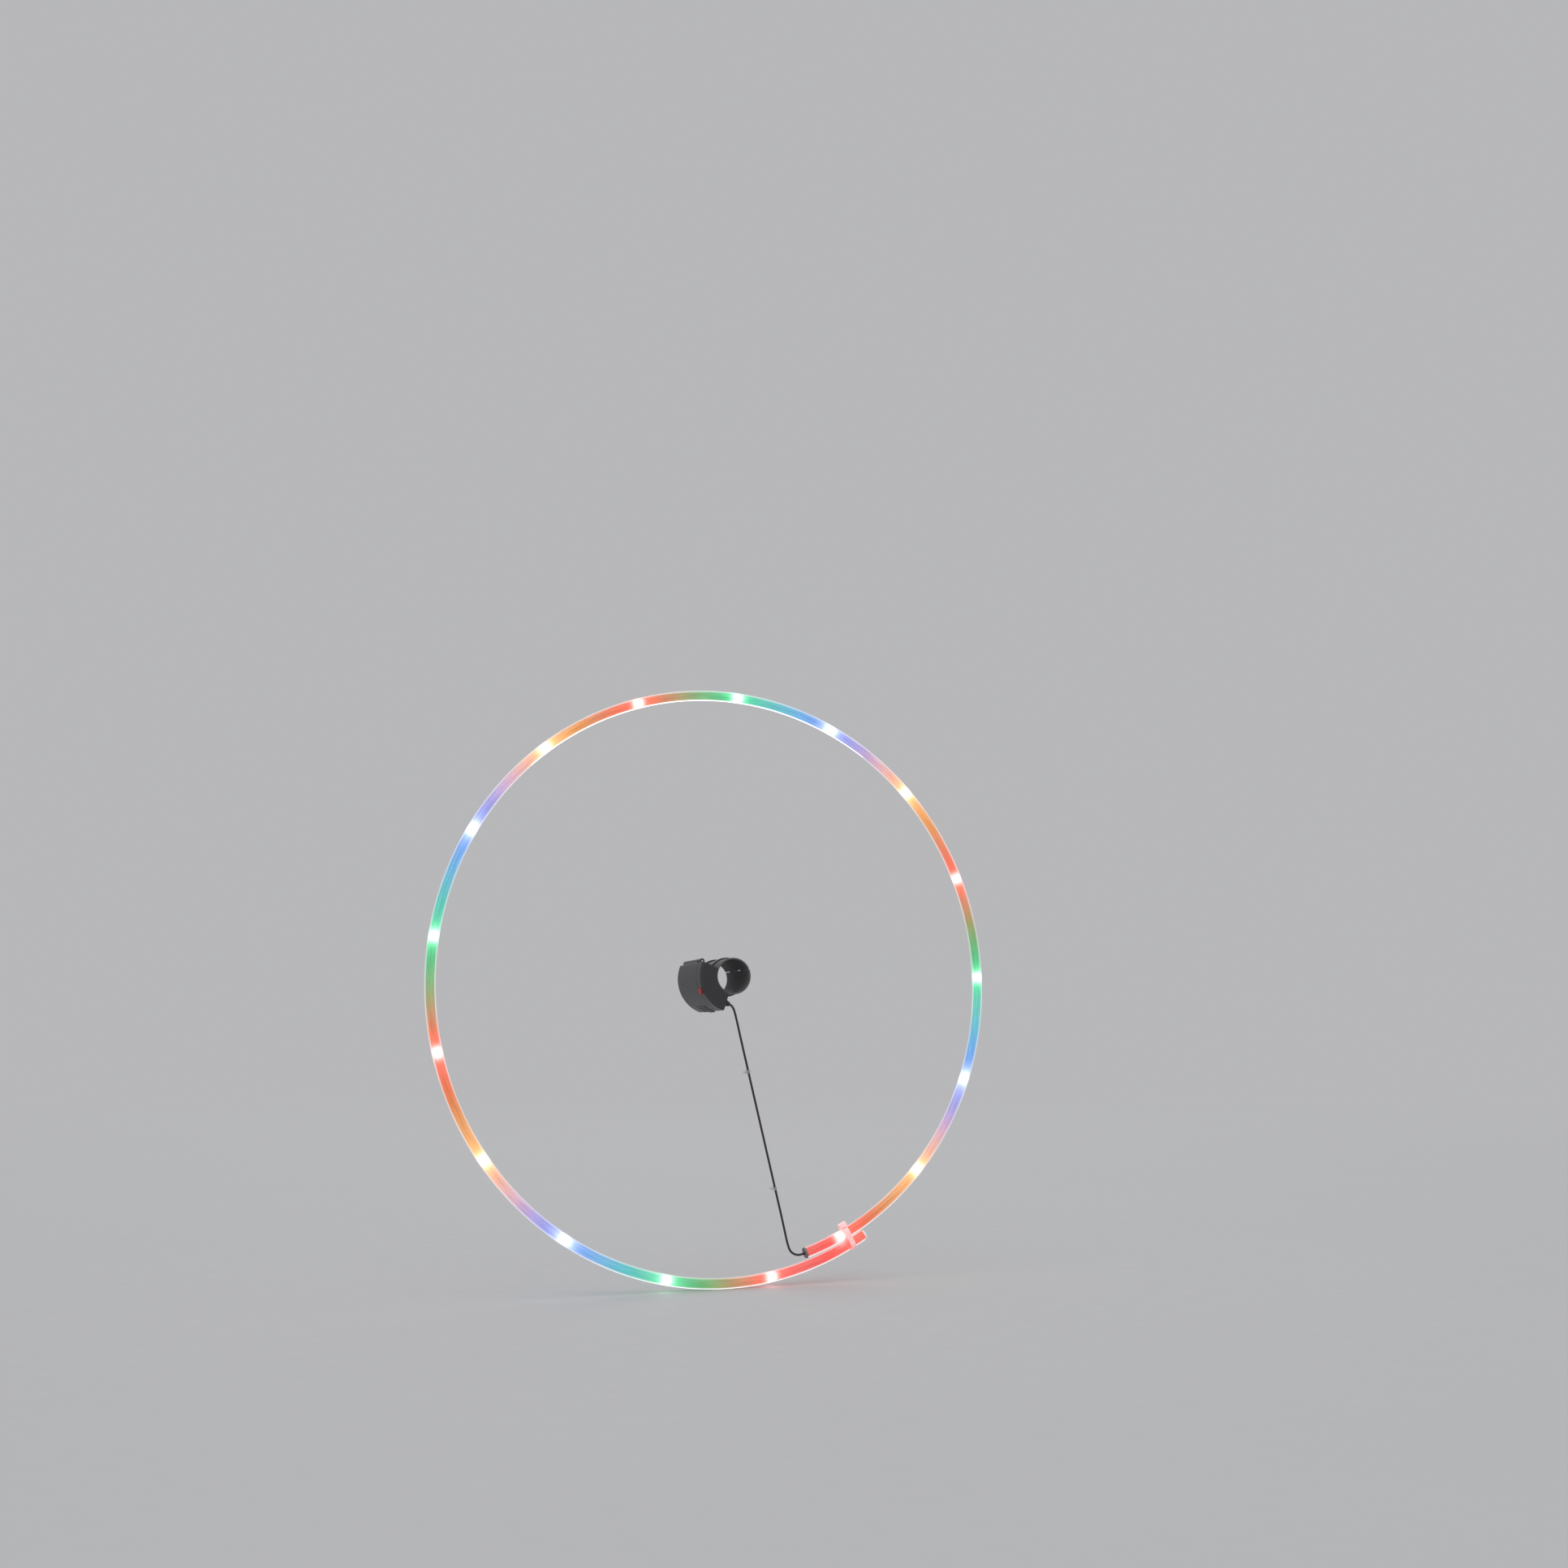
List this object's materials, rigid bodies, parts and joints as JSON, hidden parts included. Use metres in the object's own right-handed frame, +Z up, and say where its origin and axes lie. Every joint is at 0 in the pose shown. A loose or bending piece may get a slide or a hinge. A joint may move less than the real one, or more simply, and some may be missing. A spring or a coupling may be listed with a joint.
{
  "type": "spoke wheel light",
  "caption": "Spoke wheel light: a clear tube of coloured LEDs ringed just inside a bicycle rim, its ends tied together, fed by a lead from a battery pack strapped to the hub.",
  "frame": {"origin": "on the wheel's axle line, in the middle plane of the light tube", "axes": "+Y along the axle, away from the viewed side; +Z up; +X to the right as seen from the viewed side"},
  "size_m": [0.5326, 0.0648, 0.537],
  "materials": {
    "clear_vinyl": "clear, smooth",
    "tinned_wire": "bare, tinned",
    "bead_red": "clear tinted resin, lit",
    "bead_green": "clear tinted resin, lit",
    "bead_blue": "clear tinted resin, lit",
    "bead_yellow": "clear tinted resin, lit",
    "chip_red": "lit",
    "chip_green": "lit",
    "chip_blue": "lit",
    "chip_yellow": "lit",
    "clear_plug": "milky, smooth",
    "grey_plug": "matt",
    "clear_nylon": "natural nylon",
    "lead_jacket": "satin",
    "black_rubber": "matt",
    "core_jacket": "smooth",
    "grey_rubber": "matt",
    "black_nylon": "satin",
    "black_case": "fine texture",
    "steel": "drawn",
    "red_rubber": "matt",
    "cell_sleeve": "plain shrink sleeve",
    "nickel": "plated",
    "green_board": "lacquered",
    "chip_black": "moulded",
    "switch_grey": "moulded",
    "stem_white": "moulded",
    "red_button": "soft, satin"
  },
  "bodies": {
    "light": {"light_tube": "clear_vinyl", "wire_plus": "tinned_wire", "wire_minus": "tinned_wire", "led_01": "bead_red", "led_02": "bead_green", "led_03": "bead_blue", "led_04": "bead_yellow", "led_05": "bead_red", "led_06": "bead_green", "led_07": "bead_blue", "led_08": "bead_yellow", "led_09": "bead_red", "led_10": "bead_green", "led_11": "bead_blue", "led_12": "bead_yellow", "led_13": "bead_red", "led_14": "bead_green", "led_15": "bead_blue", "led_16": "bead_yellow", "led_17": "bead_red", "chips_red": "chip_red", "chips_green": "chip_green", "chips_blue": "chip_blue", "chips_yellow": "chip_yellow", "closed_plug": "clear_plug", "lead_plug": "grey_plug", "join_tie": "clear_nylon", "lead": "lead_jacket", "lead_tie_1": "clear_nylon", "lead_tie_2": "clear_nylon", "lead_grommet": "black_rubber", "lead_cores": "core_jacket", "hub_sleeve": "grey_rubber", "hub_tie_1": "black_nylon", "hub_tie_2": "black_nylon", "case_body": "black_case", "hinge_pin": "steel", "door_gasket": "red_rubber", "bay_cover": "black_case", "cell_1": "cell_sleeve", "cell_2": "cell_sleeve", "cell_3": "cell_sleeve", "spring_1": "steel", "spring_2": "steel", "spring_3": "steel", "plus_plate": "nickel", "minus_plate": "nickel", "near_bridge": "nickel", "far_bridge": "nickel", "circuit_board": "green_board", "driver_chip": "chip_black", "switch_body": "switch_grey"},
    "door": {"battery_door": "black_case"},
    "button": {"button": "red_button", "switch_stem": "stem_white"}
  },
  "joints": [
    {"name": "door_hinge", "type": "hinge", "parent": "light", "child": "door", "pos_m": [-0.02578, 0, 0.01351], "axis": [0, 1, 0], "range_deg": [0, 100]},
    {"name": "button_press", "type": "slide", "parent": "light", "child": "button", "axis": [0.9063, 0, 0.4226], "range_m": [0, 0.0008], "stiffness_N_per_m": 800, "springref_m": -0.0004}
  ]
}
